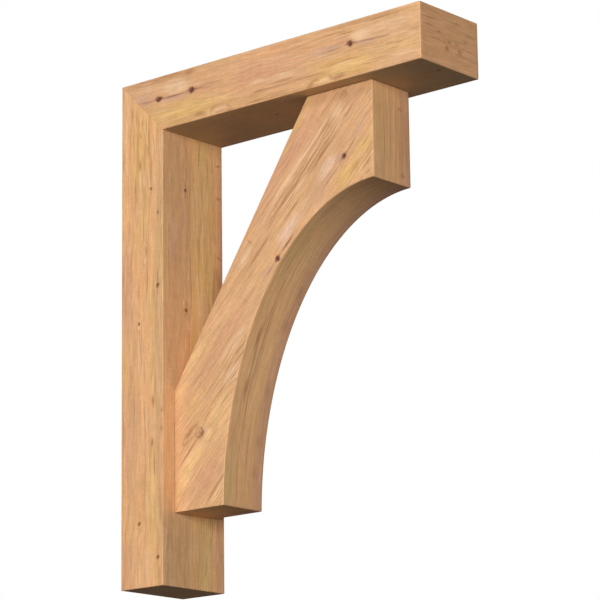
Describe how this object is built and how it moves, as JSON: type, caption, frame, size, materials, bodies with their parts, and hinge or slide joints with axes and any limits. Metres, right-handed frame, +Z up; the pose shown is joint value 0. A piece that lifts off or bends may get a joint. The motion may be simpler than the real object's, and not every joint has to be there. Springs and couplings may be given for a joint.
{
  "type": "wooden corbel bracket",
  "caption": "Timber corbel bracket: an upright wall post mitred to a projecting top beam, with a narrower brace between them whose lower edge is a hollow elliptical curve.",
  "frame": {"origin": "middle of the wall post's flat back face, which lies against the wall", "axes": "+X out from the wall along the top beam, +Y across the bracket, +Z up the wall"},
  "size_m": [0.6096, 0.1396, 0.8128],
  "materials": {
    "post_wood": "planed knotty softwood, clear and nearly matt",
    "beam_wood": "planed knotty softwood, clear and nearly matt",
    "brace_wood": "planed knotty softwood, clear and nearly matt"
  },
  "bodies": {
    "root": {"wall_post": "post_wood", "top_beam": "beam_wood", "curved_brace": "brace_wood"}
  },
  "joints": []
}
